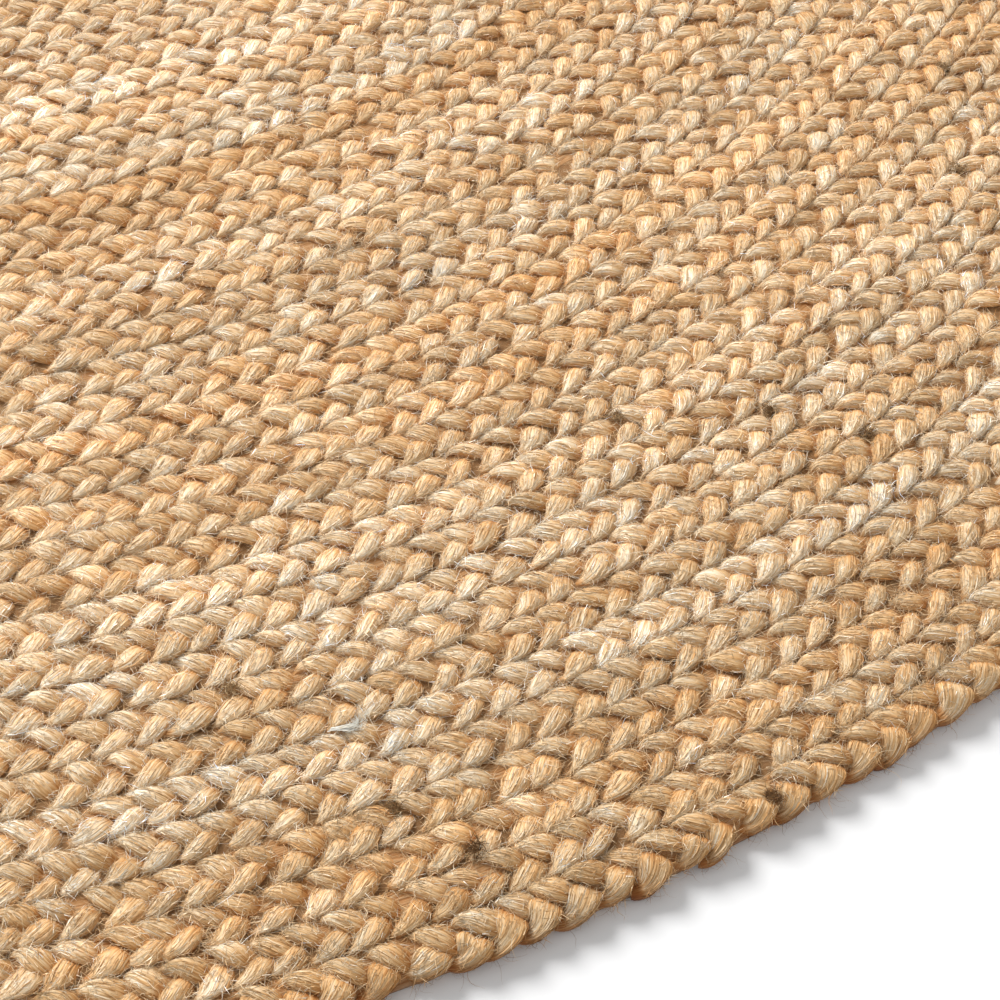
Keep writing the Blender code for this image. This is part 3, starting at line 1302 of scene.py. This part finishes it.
def makeUnder():
    steps = under["stepsInTurn"]
    turns = np.arange(under["startTurn"], coil["lastTurn"] + under["endSlack"], 1 / steps)
    turns[-1] = coil["lastTurn"]
    low = tailShare(turns, coil["tailHeightShare"])
    last, lastLow = turns[-1 - steps:], low[-1 - steps:]
    # Its edge draws in where the last round begins and at the tail
    fromEnd = np.minimum(last - last[0], last[-1] - last)
    drawnIn = under["endInside"] * (1 - np.clip(fromEnd / under["endTurns"], 0, 1))
    points = np.concatenate([
        coilPoint(turns, 0.0, under["grooveHeight"] * low),
        coilPoint(turns, 0.5, under["crestHeight"] * low),
        coilPoint(last, under["edge"] - drawnIn, under["edgeHeight"] * lastLow),
        coilPoint(last, under["footEdge"] - drawnIn, 0.0),
        coilPoint(np.array([0.0]), 0.0, under["centreHeight"]),
        coilPoint(np.array([0.0]), 0.0, 0.0),
    ])

    # The points' numbers along each line
    count, rim = len(turns), len(last)
    groove = np.arange(count)
    crest = count + groove
    edge = 2 * count + np.arange(rim)
    foot = edge + rim
    middle = 2 * count + 2 * rim
    middleFoot = middle + 1
    inside = count - steps  # from here on, the crest has the rim beside it
    nextGroove = groove[steps:steps + inside]
    faces = [
        np.stack([groove[:-1], crest[:-1], crest[1:], groove[1:]], axis=-1),
        np.stack([crest[:inside - 1], nextGroove[:-1], nextGroove[1:], crest[1:inside]], axis=-1),
        np.stack([crest[inside - 1:-1], edge[:-1], edge[1:], crest[inside:]], axis=-1),
        np.stack([edge[:-1], foot[:-1], foot[1:], edge[1:]], axis=-1),
        np.stack([np.full(rim - 1, middleFoot), foot[1:], foot[:-1]], axis=-1),
        np.stack([np.full(steps, middle), groove[:steps], groove[1:steps + 1]], axis=-1),
        np.array([[middle, groove[steps], crest[0]], [middle, crest[0], groove[0]]]),
        np.array([[middleFoot, foot[0], foot[-1]]]),
        np.array([
            [crest[-1], edge[-1], edge[0]], [crest[-1], edge[0], groove[-1]],
            [edge[-1], foot[-1], foot[0]], [edge[-1], foot[0], edge[0]],
        ]),
    ]

    # The fibres run along the plait
    ring = np.concatenate([turns, turns, last, last, [0.0, 0.0]])
    out = np.repeat([0.0, 0.5, under["edge"], under["footEdge"], 0.0], [count, count, rim, rim, 2])
    across = (ring + out) * coil["plaitWidth"]
    tint = np.ones((len(points), 1)) * np.array(under["tint"])
    # Painted shade along the inside's edge, in the notches between the rim's lobes
    tint[edge[0]:middle] = under["edgeShadeTint"]
    return meshPiece(
        "rug_inside", points, faces,
        uv=np.stack([lengthAtTurn(ring) * toCentimetres, across * toCentimetres], axis=-1),
        seed=np.zeros(len(points)), paintedShade=np.zeros(len(points)), tint=tint,
    )


inside = makeUnder()
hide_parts("braided_rug")
for piece in plait:
    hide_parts("braided_rug")
print("inside made")


# Floor, light and camera

studio = {
    "floorRadius": 60.0,
    "floorCorners": 128,
    "floorDrop": 0.0002,    # below the rug
    "floorColour": (0.86, 0.86, 0.86, 1),
    "floorRoughness": 0.9,
    "floorGloss": 0.1,
    "lampPower": 1375.0,
    "lampAway": 10.0,
    "lampSize": 5.0,
    "lampAim": (0.40, -0.72),
    "lampRise": math.radians(34),
    "lampTowards": (0.62, -0.78),
    "skyStrength": 0.58,
}


def makeFloor():
    corners = studio["floorCorners"]
    turned = 2 * math.pi * np.arange(corners) / corners
    ring = np.stack([np.cos(turned), np.sin(turned), 0 * turned], axis=-1) * studio["floorRadius"]
    ring[:, 2] = -studio["floorDrop"]
    data = bpy.data.meshes.new("floor")
    data.from_pydata([tuple(point) for point in ring], [], [tuple(range(corners))])
    material = bpy.data.materials.new("paleFloor")
    material.use_nodes = True
    shader = material.node_tree.nodes["Principled BSDF"]
    shader.inputs["Base Color"].default_value = studio["floorColour"]
    shader.inputs["Roughness"].default_value = studio["floorRoughness"]
    shader.inputs["Specular IOR Level"].default_value = studio["floorGloss"]
    data.materials.append(material)
    floor = bpy.data.objects.new("floor", data)
    bpy.context.scene.collection.objects.link(floor)


def makeLight():
    lamp = bpy.data.lights.new("windowLight", "AREA")
    lamp.shape = "DISK"
    lamp.size = studio["lampSize"]
    lamp.energy = studio["lampPower"]
    light = bpy.data.objects.new("windowLight", lamp)
    east, north = studio["lampTowards"]
    rise, away = studio["lampRise"], studio["lampAway"]
    light.location = (
        studio["lampAim"][0] - east * away * math.cos(rise),
        studio["lampAim"][1] - north * away * math.cos(rise),
        away * math.sin(rise),
    )
    # A lamp shines along its own -Z: tilt it up from straight down, then turn it
    light.rotation_euler = (0, math.pi / 2 - rise, math.atan2(north, east) + math.pi)
    bpy.context.scene.collection.objects.link(light)
    world = bpy.data.worlds.new("softRoom")
    world.use_nodes = True
    background = world.node_tree.nodes["Background"]
    background.inputs["Color"].default_value = (1, 1, 1, 1)
    background.inputs["Strength"].default_value = studio["skyStrength"]
    bpy.context.scene.world = world


def makeCamera():
    data = bpy.data.cameras.new("photoCamera")
    data.lens = cameraView["lens"]
    data.sensor_width = cameraView["sensor"]
    data.clip_start = cameraView["nearest"]
    data.clip_end = cameraView["furthest"]
    camera = bpy.data.objects.new("photoCamera", data)
    camera.location = cameraView["place"]
    camera.rotation_euler = (math.pi / 2 - cameraView["downFromLevel"], 0, 0)
    bpy.context.scene.collection.objects.link(camera)
    bpy.context.scene.camera = camera


makeFloor()
makeLight()
makeCamera()
bpy.context.scene.view_settings.view_transform = "Standard"
print("floor, light and camera set")
